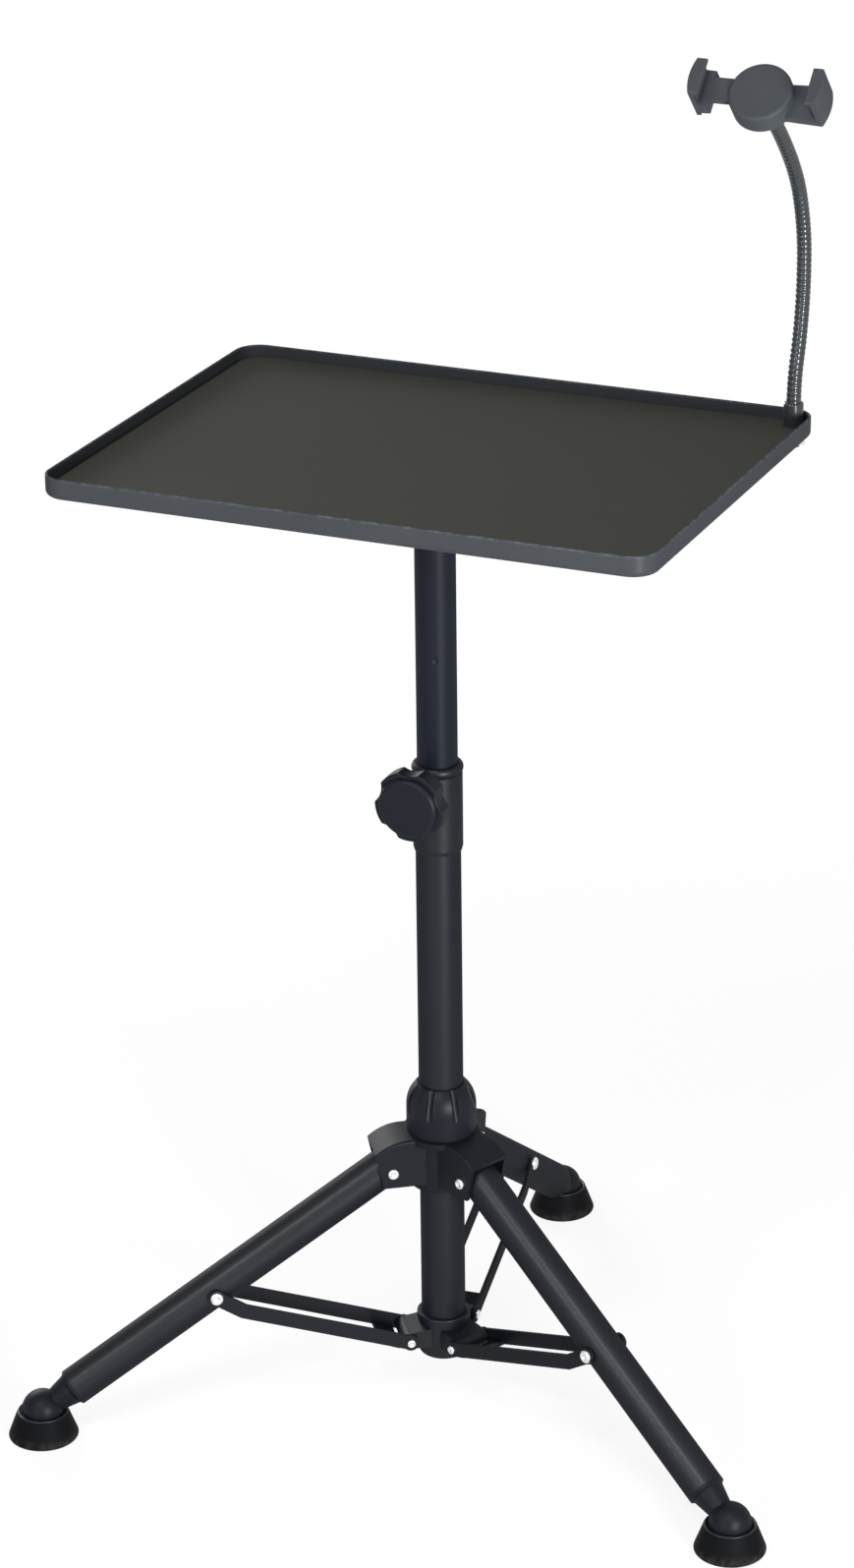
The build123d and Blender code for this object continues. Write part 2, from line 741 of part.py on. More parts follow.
# Ferrule on the neck's end, with the ball that the holder turns on
tip_dir = neck_plane.from_local_coords(neck_end + neck_tangent) - neck_plane.from_local_coords(neck_end)
ferrule_plane = Plane(origin=neck_plane.from_local_coords(neck_end), z_dir=tip_dir)
ball_at = ferrule_length + ball_stem + joint_ball_d / 2
with BuildPart() as neck_ferrule:
    with BuildSketch(ferrule_plane):
        Circle(ferrule_d / 2)
    extrude(amount=ferrule_length)
    with BuildSketch(ferrule_plane.offset(ferrule_length)):
        Circle(ball_stem_d / 2)
    extrude(amount=ball_stem + joint_ball_d / 2)
    with Locations(ferrule_plane.offset(ball_at)):
        Sphere(joint_ball_d / 2)
save(neck_ferrule, "neck_ferrule")

# Holder frame at the ball: local x across the phone, local y up along it and local z out of its face
back_plane = Plane(
    origin=ferrule_plane.offset(ball_at).origin,
    x_dir=(1, 0, 0),
    z_dir=(0, -cos(radians(holder_lean)), sin(radians(holder_lean))),
)
face_plane = back_plane.offset(holder_thick)
face_axis = Axis(back_plane.origin, back_plane.z_dir)

# Ring that closes the ball socket from behind
with BuildPart() as holder_ring:
    with BuildSketch(back_plane.offset(-slide_gap)):
        Circle(ring_d / 2)
    extrude(amount=-ring_h)
    with Locations(back_plane):
        Sphere(joint_ball_d / 2 + pin_gap, mode=Mode.SUBTRACT)
save(holder_ring, "holder_ring")

# Holder body: a round case with a ball socket behind, a slot for the sliding jaw and a fixed jaw
slot_at = joint_ball_d / 2 + pin_gap + slot_floor
with BuildPart() as holder_body:
    with BuildSketch(back_plane):
        Circle(holder_disc_d / 2)
    extrude(amount=holder_thick)
    fillet(holder_body.faces().sort_by(face_axis)[-1].edges(), radius=holder_edge)
    with BuildSketch(back_plane):
        with BuildLine():
            Polyline(
                (0, jaw_root_height / 2),
                (half_gap, jaw_height / 2),
                (half_gap, -jaw_height / 2),
                (0, -jaw_root_height / 2),
                close=True,
            )
        make_face()
    extrude(amount=wing_thick)
    with BuildSketch(back_plane):
        add(claw_outline(half_gap))
    extrude(amount=holder_thick + jaw_depth)
    with BuildSketch(face_plane.offset(jaw_depth)):
        add(claw_outline(half_gap - jaw_lip))
    extrude(amount=jaw_lip_thick)
    fillet(holder_body.faces().sort_by(face_axis)[-1].edges(), radius=jaw_edge)
    with BuildSketch(back_plane.offset(slot_at)):
        with Locations((slide_bar_end + jaw_closing + slide_gap, 0)):
            Rectangle(
                jaw_gap, slide_bar_height + 2 * slide_gap, align=(Align.MAX, Align.CENTER)
            )
    extrude(amount=slide_bar_thick + 2 * slide_gap, mode=Mode.SUBTRACT)
    with Locations(back_plane):
        Sphere(joint_ball_d / 2 + pin_gap, mode=Mode.SUBTRACT)
save(holder_body, "holder_body")

# Sliding jaw, whose bar runs in the holder's slot
wing_start = holder_disc_d / 2 + jaw_closing + slide_gap
with BuildPart() as sliding_jaw:
    with BuildSketch(back_plane.offset(slot_at + slide_gap)):
        with Locations((-half_gap, 0)):
            Rectangle(half_gap + slide_bar_end, slide_bar_height, align=(Align.MIN, Align.CENTER))
    extrude(amount=slide_bar_thick)
    with BuildSketch(back_plane.offset(slot_at + slide_gap + slide_bar_thick)):
        with BuildLine():
            Polyline(
                (-half_gap, jaw_height / 2),
                (-wing_start, wing_root_height / 2),
                (-wing_start, -wing_root_height / 2),
                (-half_gap, -jaw_height / 2),
                close=True,
            )
        make_face()
    extrude(amount=-slide_bar_thick - wing_thick)
    with BuildSketch(back_plane):
        mirror(claw_outline(half_gap), about=Plane.YZ)
    extrude(amount=holder_thick + jaw_depth)
    with BuildSketch(face_plane.offset(jaw_depth)):
        mirror(claw_outline(half_gap - jaw_lip), about=Plane.YZ)
    extrude(amount=jaw_lip_thick)
    fillet(sliding_jaw.faces().sort_by(face_axis)[-1].edges(), radius=jaw_edge)
save(sliding_jaw, "sliding_jaw")
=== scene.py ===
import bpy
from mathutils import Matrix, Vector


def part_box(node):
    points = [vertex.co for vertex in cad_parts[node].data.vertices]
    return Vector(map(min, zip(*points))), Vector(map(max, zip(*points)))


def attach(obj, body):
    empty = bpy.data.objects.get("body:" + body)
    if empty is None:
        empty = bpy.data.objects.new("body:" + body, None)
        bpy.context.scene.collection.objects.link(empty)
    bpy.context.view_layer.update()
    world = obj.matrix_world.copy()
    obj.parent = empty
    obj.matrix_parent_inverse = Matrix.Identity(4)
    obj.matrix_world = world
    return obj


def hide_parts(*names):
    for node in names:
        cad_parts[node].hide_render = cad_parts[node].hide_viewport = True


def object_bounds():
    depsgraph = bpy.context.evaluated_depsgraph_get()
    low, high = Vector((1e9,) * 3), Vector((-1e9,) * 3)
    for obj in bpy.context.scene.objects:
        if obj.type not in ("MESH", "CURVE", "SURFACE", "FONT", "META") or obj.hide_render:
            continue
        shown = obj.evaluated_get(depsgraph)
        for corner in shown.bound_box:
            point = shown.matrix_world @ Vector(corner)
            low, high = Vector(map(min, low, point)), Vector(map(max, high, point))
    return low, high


bl_info = {
    "name": "Projector stand finishes",
    "version": (1, 0, 0),
    "blender": (4, 5, 0),
    "location": "View3D > Sidebar > Stand",
    "description": "Winds the gooseneck and gives every part of a folding projector stand its finish",
    "category": "Object",
}

import math

import bmesh
import bpy
from bpy.props import FloatProperty, FloatVectorProperty, IntProperty, PointerProperty
from mathutils import Matrix, Vector

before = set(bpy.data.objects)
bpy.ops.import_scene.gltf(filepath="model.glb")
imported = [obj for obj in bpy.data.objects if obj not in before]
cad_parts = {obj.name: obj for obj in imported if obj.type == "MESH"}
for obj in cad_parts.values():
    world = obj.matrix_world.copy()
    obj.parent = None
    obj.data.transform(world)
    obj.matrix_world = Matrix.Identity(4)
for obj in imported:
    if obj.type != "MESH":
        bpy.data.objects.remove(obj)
cad_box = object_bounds()

MM = 0.001
SIDES = ("right", "rear", "left")

# Sizes of the solids that the new pieces are fitted to
TRAY_SHEET = 1.6 * MM
SOCKET_RADIUS = 16.5 * MM
SOCKET_PLATE = 2.8 * MM

# The gooseneck's route lies in one upright plane: the plane's heading, and how far out and up each corner is
NECK_HEADING = math.radians(-94.6)
NECK_CORNERS_MM = ((0, 19), (0, 33), (-7, 57), (-11.5, 88), (-10.5, 126), (6, 168.5), (37, 199.5))

# Points of a mesh that are closer than this are one point
MERGE_DISTANCE = 0.01 * MM

# How much lighter a coat is where sliding rubs it and where a highlight is painted along the tray's rim, and
# the colour of dust
RUBBED_AND_RIM_HIGHLIGHT = 2.6
DUST_COLOUR = (0.10, 0.095, 0.085)

# How fast gloss dulls towards a tube's edges, and how fast the bright band along its middle fades
EDGE_FALLOFF = 2.0
BAND_FALLOFF = 9.0

# Grain that is the same all ways, and grain drawn out upwards on the sliding tube and on plated pieces
EVEN = (1, 1, 1)
SLIDING_MARKS = (1400.0, 1400.0, 9.0)
PLATE_SCUFFS = (1, 1, 0.15)

# Numbers of the sockets of a Mix node that mixes colours
MIX_SHARE, MIX_LOW, MIX_HIGH, MIX_RESULT = 0, 6, 7, 2
WHITE = (1, 1, 1, 1)

# Where each softbox stands round the stand's middle: turn and rise in degrees, the rest in metres
LAMPS = {
    "key": {"turn": 48, "rise": 0, "reach": 2.1, "width": 0.36, "height": 0.7},
    "fill": {"turn": -18, "rise": 30, "reach": 2.2, "width": 0.35, "height": 0.35},
    "strip": {"turn": -8, "rise": 0, "reach": 2.2, "width": 0.14, "height": 0.5},
    "front": {"turn": 10, "rise": 46, "reach": 2.2, "width": 0.5, "height": 0.5},
    "top": {"turn": 20, "rise": 80, "reach": 2.2, "width": 1.6, "height": 1.6},
    "back": {"turn": 228, "rise": 8, "reach": 2.4, "width": 1.0, "height": 0.9},
}


class StandColours(bpy.types.PropertyGroup):
    """Colours of the stand's finishes, as linear light."""

    black_coat: FloatVectorProperty(
        name="Black coat",
        description="Satin powder coat on the lower tube, legs and braces",
        subtype="COLOR",
        default=(0.0036, 0.0045, 0.0070),
        min=0,
        max=1,
    )
    sliding_coat: FloatVectorProperty(
        name="Sliding tube coat",
        description="Bluer satin coat on the upper tube, which slides in the clamp",
        subtype="COLOR",
        default=(0.0036, 0.0050, 0.0092),
        min=0,
        max=1,
    )
    tray_coat: FloatVectorProperty(
        name="Tray coat",
        description="Slate powder coat on the tray's sheet steel",
        subtype="COLOR",
        default=(0.0295, 0.0325, 0.0365),
        min=0,
        max=1,
    )
    moulded_black: FloatVectorProperty(
        name="Moulded black",
        description="Moulded plastic of the hub, ring nut, clamp, knob, collar and leg ends",
        subtype="COLOR",
        default=(0.0034, 0.0045, 0.0066),
        min=0,
        max=1,
    )
    mat_sheet: FloatVectorProperty(
        name="Mat sheet",
        description="Non-slip sheet lying in the tray",
        subtype="COLOR",
        default=(0.0355, 0.0362, 0.0312),
        min=0,
        max=1,
    )
    foot_rubber: FloatVectorProperty(
        name="Foot rubber",
        description="Rubber of the three feet",
        subtype="COLOR",
        default=(0.0026, 0.0028, 0.0036),
        min=0,
        max=1,
    )
    zinc: FloatVectorProperty(
        name="Zinc plate",
        description="Bright plate on the rivets, screws and nuts",
        subtype="COLOR",
        default=(0.76, 0.76, 0.77),
        min=0,
        max=1,
    )
    neck_wire: FloatVectorProperty(
        name="Neck wire",
        description="Lacquered wire of the wound gooseneck and its fittings",
        subtype="COLOR",
        default=(0.019, 0.022, 0.025),
        min=0,
        max=1,
    )
    holder_slate: FloatVectorProperty(
        name="Holder slate",
        description="Slate plastic of the holder on the gooseneck",
        subtype="COLOR",
        default=(0.034, 0.038, 0.0435),
        min=0,
        max=1,
    )


class NeckSizes(bpy.types.PropertyGroup):
    """Sizes of the gooseneck's winding."""

    pitch: FloatProperty(
        name="Pitch",
        description="Rise of the winding in one turn",
        unit="LENGTH",
        default=3.3 * MM,
        min=1 * MM,
    )
    outside: FloatProperty(
        name="Outside",
        description="Diameter over the wire's crowns",
        unit="LENGTH",
        default=9.0 * MM,
        min=4 * MM,
    )
    depth: FloatProperty(
        name="Depth",
        description="Depth of the valley between two turns",
        unit="LENGTH",
        default=0.3 * MM,
        min=0,
    )
    segments: IntProperty(
        name="Segments",
        description="Faces round one turn",
        default=28,
        min=8,
    )
    crown_steps: IntProperty(
        name="Crown steps",
        description="Faces across one turn's crown",
        default=8,
        min=3,
    )


class StageLook(bpy.types.PropertyGroup):
    """Camera, lamps and floor."""

    eye: FloatVectorProperty(
        name="Eye",
        description="Where the camera stands",
        subtype="TRANSLATION",
        default=(1.0257, -2.3460, 1.4923),
    )
    aim: FloatVectorProperty(
        name="Aim",
        description="What the camera looks at",
        subtype="TRANSLATION",
        default=(-0.0059, -0.0026, 0.4222),
    )
    sensor: FloatProperty(
        name="Sensor",
        description="Long side of the camera's sensor, in millimetres",
        unit="CAMERA",
        default=36,
        min=1,
    )
    lens: FloatProperty(
        name="Lens",
        description="Focal length on that sensor, in millimetres",
        unit="CAMERA",
        default=104.74,
        min=10,
    )
    roll: FloatProperty(
        name="Roll",
        description="Turn of the picture about the line of sight",
        subtype="ANGLE",
        default=math.radians(-0.71),
    )
    key_power: FloatProperty(
        name="Key",
        description="Power of the tall lamp to the right of the camera",
        unit="POWER",
        default=70.0,
        min=0,
    )
    front_power: FloatProperty(
        name="Front",
        description="Power of the softbox above the camera",
        unit="POWER",
        default=18.0,
        min=0,
    )
    fill_power: FloatProperty(
        name="Fill",
        description="Power of the softbox high to the left of the camera",
        unit="POWER",
        default=11.0,
        min=0,
    )
    strip_power: FloatProperty(
        name="Strip",
        description="Power of the slim lamp low to the left of the camera",
        unit="POWER",
        default=11.0,
        min=0,
    )
    top_power: FloatProperty(
        name="Top",
        description="Power of the wide lamp overhead",
        unit="POWER",
        default=8.0,
        min=0,
    )
    back_power: FloatProperty(
        name="Back",
        description="Power of the lamp behind the stand",
        unit="POWER",
        default=46.0,
        min=0,
    )
    surround: FloatProperty(
        name="Surround",
        description="Strength of the light from all round",
        subtype="FACTOR",
        default=0.28,
        min=0,
        max=1,
    )
    floor_colour: FloatVectorProperty(
        name="Floor",
        description="Colour of the floor",
        subtype="COLOR",
        default=(0.88, 0.88, 0.88),
        min=0,
        max=1,
    )


class Wire:
    """A node's output that takes part in Python arithmetic; each step adds a Math node."""

    def __init__(self, graph, socket):
        self.graph = graph
        self.socket = socket

    def math(self, operation, *operands, clamp=False):
        settings = {"operation": operation, "use_clamp": clamp}
        return self.graph.node("ShaderNodeMath", settings, dict(enumerate(operands)))

    def __add__(self, other):
        return self.math("ADD", self, other)

    def __radd__(self, other):
        return self.math("ADD", other, self)

    def __sub__(self, other):
        return self.math("SUBTRACT", self, other)

    def __rsub__(self, other):
        return self.math("SUBTRACT", other, self)

    def __mul__(self, other):
        return self.math("MULTIPLY", self, other)

    def __rmul__(self, other):
        return self.math("MULTIPLY", other, self)

    def __pow__(self, other):
        return self.math("POWER", self, other)

    def __rpow__(self, other):
        return self.math("POWER", other, self)

    def clamped(self):
        """The same, kept between 0 and 1."""
        return self.math("ADD", self, 0.0, clamp=True)

    def above(self, start, end):
        """0 below start, 1 past end and even between them."""
        return self.math("MULTIPLY", self - start, 1 / (end - start), clamp=True)


class Graph:
    """A node tree being filled, with one way to add any node."""

    def __init__(self, tree):
        self.tree = tree
        self.tree.nodes.clear()

    def node(self, kind, settings=None, sockets=None, output=0):
        """Adds a node, with its settings and then the values or links of its sockets."""
        made = self.tree.nodes.new(kind)
        for name, value in (settings or {}).items():
            setattr(made, name, value)
        for key, value in (sockets or {}).items():
            if isinstance(value, Wire):
                self.tree.links.new(value.socket, made.inputs[key])
            else:
                made.inputs[key].default_value = value
        if made.outputs:
            return Wire(self, made.outputs[output])
        return None


class Finish(Graph):
    """A material under construction."""

    def __init__(self, name):
        self.material = bpy.data.materials.new(name)
        self.material.use_nodes = True
        super().__init__(self.material.node_tree)

    def place(self, stretch=EVEN):
        """The object's own coordinates, stretched along each axis."""
        own = self.node("ShaderNodeTexCoord", output="Object")
        if stretch == EVEN:
            return own
        return self.node("ShaderNodeMapping", None, {"Vector": own, "Scale": stretch})

    def noise(self, scale, detail, stretch=EVEN):
        """Clouds or grain, with so many repeats in a metre."""
        sockets = {"Vector": self.place(stretch), "Scale": scale, "Detail": detail}
        return self.node("ShaderNodeTexNoise", None, sockets)

    def cells(self, scale):
        """Pebbles, each 0 in its middle."""
        return self.node("ShaderNodeTexVoronoi", None, {"Vector": self.place(), "Scale": scale})

    def height(self):
        """How high a point is above the floor, in metres."""
        return self.node("ShaderNodeSeparateXYZ", None, {"Vector": self.place()}, "Z")

    def edge_on(self):
        """0 where a surface faces the eye and 1 where it turns away, for gloss alone."""
        return self.node("ShaderNodeLayerWeight", None, {"Blend": 0.5}, "Facing") ** EDGE_FALLOFF

    def band(self, strength, turned):
        """Weight of a clear coat that shows along a tube's middle, or 0 for no such coat."""
        return strength * (1 - turned) ** BAND_FALLOFF if strength else 0.0

    def blend(self, share, low, high):
        """A colour between two."""
        low, high = (colour if isinstance(colour, Wire) else (*colour, 1.0) for colour in (low, high))
        sockets = {MIX_SHARE: share, MIX_LOW: low, MIX_HIGH: high}
        return self.node("ShaderNodeMix", {"data_type": "RGBA"}, sockets, MIX_RESULT)

    def mottle(self, share, colour, dark, light):
        """A colour that drifts between a darker and a lighter shade of itself."""
        return self.blend(share, shade(colour, dark), shade(colour, light))

    def relief(self, height, depth, strength):
        """Fine relief that tilts the surface."""
        sockets = {"Strength": strength, "Distance": depth, "Height": height}
        return self.node("ShaderNodeBump", None, sockets)

    def close(self, **sockets):
        """Ends the material in one shader; names use _ for the spaces of its sockets."""
        named = {name.replace("_", " "): value for name, value in sockets.items()}
        shader = self.node("ShaderNodeBsdfPrincipled", None, named)
        self.node("ShaderNodeOutputMaterial", None, {"Surface": shader})
        return self.material


def shade(colour, share):
    """A colour made darker or lighter by a share."""
    return tuple(min(1.0, part * share) for part in colour)


def powder_coat(name, colour, roughness=0.44, specular=0.075, band=0.0, streaks=False, rim=None):
    """Baked powder coat with orange peel and, where asked, marks of sliding or a painted highlight along a
    rim.
    """
    coat = Finish(name)
    cloud = coat.noise(scale=16.0, detail=3.0)
    peel = coat.noise(scale=950.0, detail=1.0)
    speck = coat.noise(scale=3800.0, detail=0.0)
    tint = coat.mottle(cloud, colour, dark=0.84, light=1.18)
    sheen = roughness - 0.05 + 0.10 * cloud + 0.05 * peel
    if streaks:
        marks = coat.noise(scale=1.0, detail=2.0, stretch=SLIDING_MARKS).above(start=0.56, end=0.78)
        tint = coat.blend(0.35 * marks, tint, shade(colour, RUBBED_AND_RIM_HIGHLIGHT))
        sheen = sheen - 0.07 * marks
    # Where asked, a lighter band in patches just under the rim's top: a painted highlight along the rim,
    # where the coat is also smoother
    if rim:
        patches = coat.noise(scale=210.0, detail=3.0).above(start=0.38, end=0.70)
        painted_rim_highlight = coat.height().above(*rim) * patches
        tint = coat.blend(0.75 * painted_rim_highlight, tint, shade(colour, RUBBED_AND_RIM_HIGHLIGHT))
        sheen = sheen - 0.12 * painted_rim_highlight
    turned = coat.edge_on()
    return coat.close(
        Base_Color=tint,
        Roughness=sheen + 0.5 * turned,
        Specular_IOR_Level=specular,
        Coat_Weight=coat.band(band, turned),
        Coat_Roughness=0.34,
        Normal=coat.relief(0.75 * peel + 0.25 * speck, depth=0.05 * MM, strength=0.5),
    )


def moulded_plastic(name, colour, roughness=0.44, band=0.0):
    """Moulded plastic with a fine spark grain and faint flow clouds."""
    plastic = Finish(name)
    cloud = plastic.noise(scale=30.0, detail=3.0)
    grain = plastic.cells(scale=1500.0)
    fine = plastic.noise(scale=2600.0, detail=1.0)
    turned = plastic.edge_on()
    return plastic.close(
        Base_Color=plastic.mottle(cloud, colour, dark=0.85, light=1.2),
        Roughness=roughness - 0.04 + 0.08 * cloud + 0.06 * fine + 0.4 * turned,
        Specular_IOR_Level=0.10,
        Coat_Weight=plastic.band(band, turned),
        Coat_Roughness=0.40,
        Normal=plastic.relief(0.6 * grain + 0.4 * fine, depth=0.05 * MM, strength=0.45),
    )


def non_slip_sheet(name, colour):
    """Pebbled non-slip sheet with lint and dulled patches."""
    sheet = Finish(name)
    cloud = sheet.noise(scale=9.0, detail=4.0)
    pebble = sheet.cells(scale=620.0)
    fine = sheet.noise(scale=2400.0, detail=1.0)
    lint = sheet.noise(scale=700.0, detail=1.0).above(start=0.70, end=0.78)
    tint = sheet.mottle(cloud, colour, dark=0.82, light=1.2)
    tint = sheet.blend(pebble.above(start=0.15, end=0.65), shade(colour, 1.08), tint)
    tint = sheet.blend(0.4 * lint, tint, shade(colour, 2.4))
    return sheet.close(
        Base_Color=tint,
        Roughness=0.66 + 0.16 * cloud + 0.08 * fine,
        Specular_IOR_Level=0.06,
        Normal=sheet.relief(0.85 * (1 - pebble) + 0.15 * fine, depth=0.12 * MM, strength=0.6),
    )


def matte_rubber(name, colour, roughness=0.58, specular=0.04):
    """Matte rubber that picks up pale dust towards the floor."""
    rubber = Finish(name)
    cloud = rubber.noise(scale=60.0, detail=3.0)
    fine = rubber.noise(scale=1900.0, detail=2.0)
    low_down = 1 - rubber.height().above(start=0.5 * MM, end=7.0 * MM)
    dust = low_down * rubber.noise(scale=240.0, detail=3.0).above(start=0.35, end=0.75)
    tint = rubber.mottle(cloud, colour, dark=0.85, light=1.2)
    return rubber.close(
        Base_Color=rubber.blend(0.25 * dust, tint, DUST_COLOUR),
        Roughness=roughness + 0.10 * cloud + 0.12 * dust,
        Specular_IOR_Level=specular,
        Normal=rubber.relief(fine, depth=0.06 * MM, strength=0.5),
    )


def bright_plate(name, colour, roughness=0.20):
    """Bright zinc plate with fine scuffs and a faint grey bloom."""
    plate = Finish(name)
    bloom = plate.noise(scale=420.0, detail=3.0)
    scuff = plate.noise(scale=2600.0, detail=2.0, stretch=PLATE_SCUFFS)
    return plate.close(
        Base_Color=plate.mottle(bloom, colour, dark=0.82, light=1.08),
        Metallic=1.0,
        Roughness=roughness + 0.12 * bloom + 0.06 * scuff,
        Normal=plate.relief(scuff, depth=0.01 * MM, strength=0.4),
    )


def lacquered_wire(name, colour):
    """Dark lacquered wire: a satin slate body under a thin clear coat that glints on each crown."""
    wire = Finish(name)
    tarnish = wire.noise(scale=170.0, detail=3.0)
    fine = wire.noise(scale=2400.0, detail=1.0)
    return wire.close(
        Base_Color=wire.mottle(tarnish, colour, dark=0.82, light=1.14),
        Roughness=0.46 + 0.12 * tarnish + 0.05 * fine,
        Specular_IOR_Level=0.06,
        Coat_Weight=0.7 - 0.2 * tarnish,
        Coat_Roughness=0.18,
        Normal=wire.relief(fine, depth=0.01 * MM, strength=0.4),
    )


def dress(material, *names):
    """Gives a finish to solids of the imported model."""
    for name in names:
        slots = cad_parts[name].data.materials
        slots.clear()
        slots.append(material)


def each(*names):
    """Names of the parts that every side has."""
    return [f"{name}_{side}" for name in names for side in SIDES]


def as_mesh(name, shape):
    """Turns a finished bmesh into a mesh."""
    mesh = bpy.data.meshes.new(name)
    shape.to_mesh(mesh)
    shape.free()
    return mesh


def put_in_scene(name, data):
    """Adds an object to the scene."""
    added = bpy.data.objects.new(name, data)
    bpy.context.scene.collection.objects.link(added)
    return added


def add_piece(name, mesh, material, body):
    """Adds a finished mesh as a piece, smooth shaded, that moves with a body."""
    mesh.materials.append(material)
    for face in mesh.polygons:
        face.use_smooth = True
    piece = put_in_scene(name, mesh)
    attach(piece, body)
    return piece


class STAND_OT_coat_tubes(bpy.types.Operator):
    """Coats the column, the legs, the braces and the socket"""

    bl_idname = "stand.coat_tubes"
    bl_label = "Coat tubes and braces"

    def execute(self, context):
        colours = context.scene.stand_colours
        tubes = powder_coat("black_powder_coat", colours.black_coat, band=0.3)
        dress(tubes, "lower_tube", "socket_plate", *each("leg"))
        braces = powder_coat("brace_powder_coat", colours.black_coat, band=0.2)
        dress(braces, *each("brace"))
        sliding = powder_coat(
            "sliding_tube_coat", colours.sliding_coat, roughness=0.46, specular=0.10, streaks=True
        )
        dress(sliding, "upper_tube")
        return {"FINISHED"}


class STAND_OT_mould_fittings(bpy.types.Operator):
    """Finishes the moulded hub, ring nut, clamp, knob, collar and leg ends"""

    bl_idname = "stand.mould_fittings"
    bl_label = "Finish moulded fittings"

    def execute(self, context):
        black = context.scene.stand_colours.moulded_black
        plain = moulded_plastic("moulded_black_plastic", black)
        dress(plain, "hub", *each("leg_end"))
        banded = moulded_plastic("banded_black_plastic", black, band=0.22)
        dress(banded, "spreader_collar", "clamp_sleeve")
        glossier = moulded_plastic("grip_black_plastic", shade(black, 1.25), roughness=0.38)
        dress(glossier, "ring_nut", "star_knob")
        return {"FINISHED"}


class STAND_OT_plate_hardware(bpy.types.Operator):
    """Plates the rivets, screws and nuts"""

    bl_idname = "stand.plate_hardware"
    bl_label = "Plate rivets and screws"

    def execute(self, context):
        zinc = context.scene.stand_colours.zinc
        rivets = bright_plate("bright_rivet_plate", zinc)
        dress(rivets, "hub_rivets", "collar_rivets", *each("brace_rivets"))
        screws = bright_plate("screw_plate", shade(zinc, 0.86), roughness=0.28)
        dress(screws, "clamp_screw", "plate_screws", "neck_nut")
        return {"FINISHED"}


class STAND_OT_rubber_feet(bpy.types.Operator):
    """Finishes the three feet in matte rubber"""

    bl_idname = "stand.rubber_feet"
    bl_label = "Finish rubber feet"

    def execute(self, context):
        rubber = matte_rubber("foot_rubber", context.scene.stand_colours.foot_rubber)
        dress(rubber, *each("foot"))
        return {"FINISHED"}


class STAND_OT_bead_feet(bpy.types.Operator):
    """Runs a smooth bead round the mouth of each foot's cup, in rubber twice as light as the feet: a painted
    highlight along the mouth
    """

    bl_idname = "stand.bead_feet"
    bl_label = "Bead foot cups"

    mouth: FloatProperty(
        name="Mouth",
        description="Radius of the bead's middle line",
        unit="LENGTH",
        default=15.3 * MM,
        min=10 * MM,
    )
    bead: FloatProperty(
        name="Bead",
        description="Radius of the bead",
        unit="LENGTH",
        default=0.9 * MM,
        min=0.2 * MM,
    )

    # Share of its radius that the bead's middle lies below the cup's rim
    SINK = 0.4

    def execute(self, context):
        # The bead's rubber is twice as light as the feet's, a painted highlight along the cup's mouth; its
        # higher gloss is the shader's own
        colour = shade(context.scene.stand_colours.foot_rubber, 2.0)
        rubber = matte_rubber("foot_lip_rubber", colour, roughness=0.40, specular=0.22)
        stand_up = Matrix.Rotation(math.radians(90), 4, "X")
        for side in SIDES:
            low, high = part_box(f"foot_{side}")
            middle = (low + high) / 2
            lip = bmesh.new()
            made = bmesh.ops.create_circle(lip, segments=12, radius=self.bead)
            place = Matrix.Translation((middle.x + self.mouth, middle.y, high.z - self.SINK * self.bead))
            bmesh.ops.transform(lip, matrix=place @ stand_up, verts=made["verts"])
            bmesh.ops.spin(
                lip,
                geom=lip.verts[:] + lip.edges[:],
                cent=(middle.x, middle.y, 0),
                axis=(0, 0, 1),
                angle=2 * math.pi,
                steps=96,
                use_merge=True,
            )
            bmesh.ops.remove_doubles(lip, verts=lip.verts, dist=MERGE_DISTANCE)
            bmesh.ops.recalc_face_normals(lip, faces=lip.faces)
            name = f"foot_lip_{side}"
            add_piece(name, as_mesh(name, lip), rubber, f"foot_{side}")
        return {"FINISHED"}


class STAND_OT_coat_tray(bpy.types.Operator):
    """Coats the tray and finishes its mat"""

    bl_idname = "stand.coat_tray"
    bl_label = "Coat tray and mat"

    # How far below the rim its painted highlight begins, and how far below it the painted highlight is full
    RIM_HIGHLIGHT_DEPTHS = (1.6 * MM, 0.2 * MM)

    def execute(self, context):
        colours = context.scene.stand_colours
        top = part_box("tray")[1].z
        # The band just under the rim's top gets the painted highlight
        rim = [top - depth for depth in self.RIM_HIGHLIGHT_DEPTHS]
        slate = powder_coat(
            "tray_slate_coat", colours.tray_coat, roughness=0.40, specular=0.035, band=0.06, rim=rim
        )
        dress(slate, "tray")
        dress(non_slip_sheet("mat_non_slip", colours.mat_sheet), "mat")
        return {"FINISHED"}


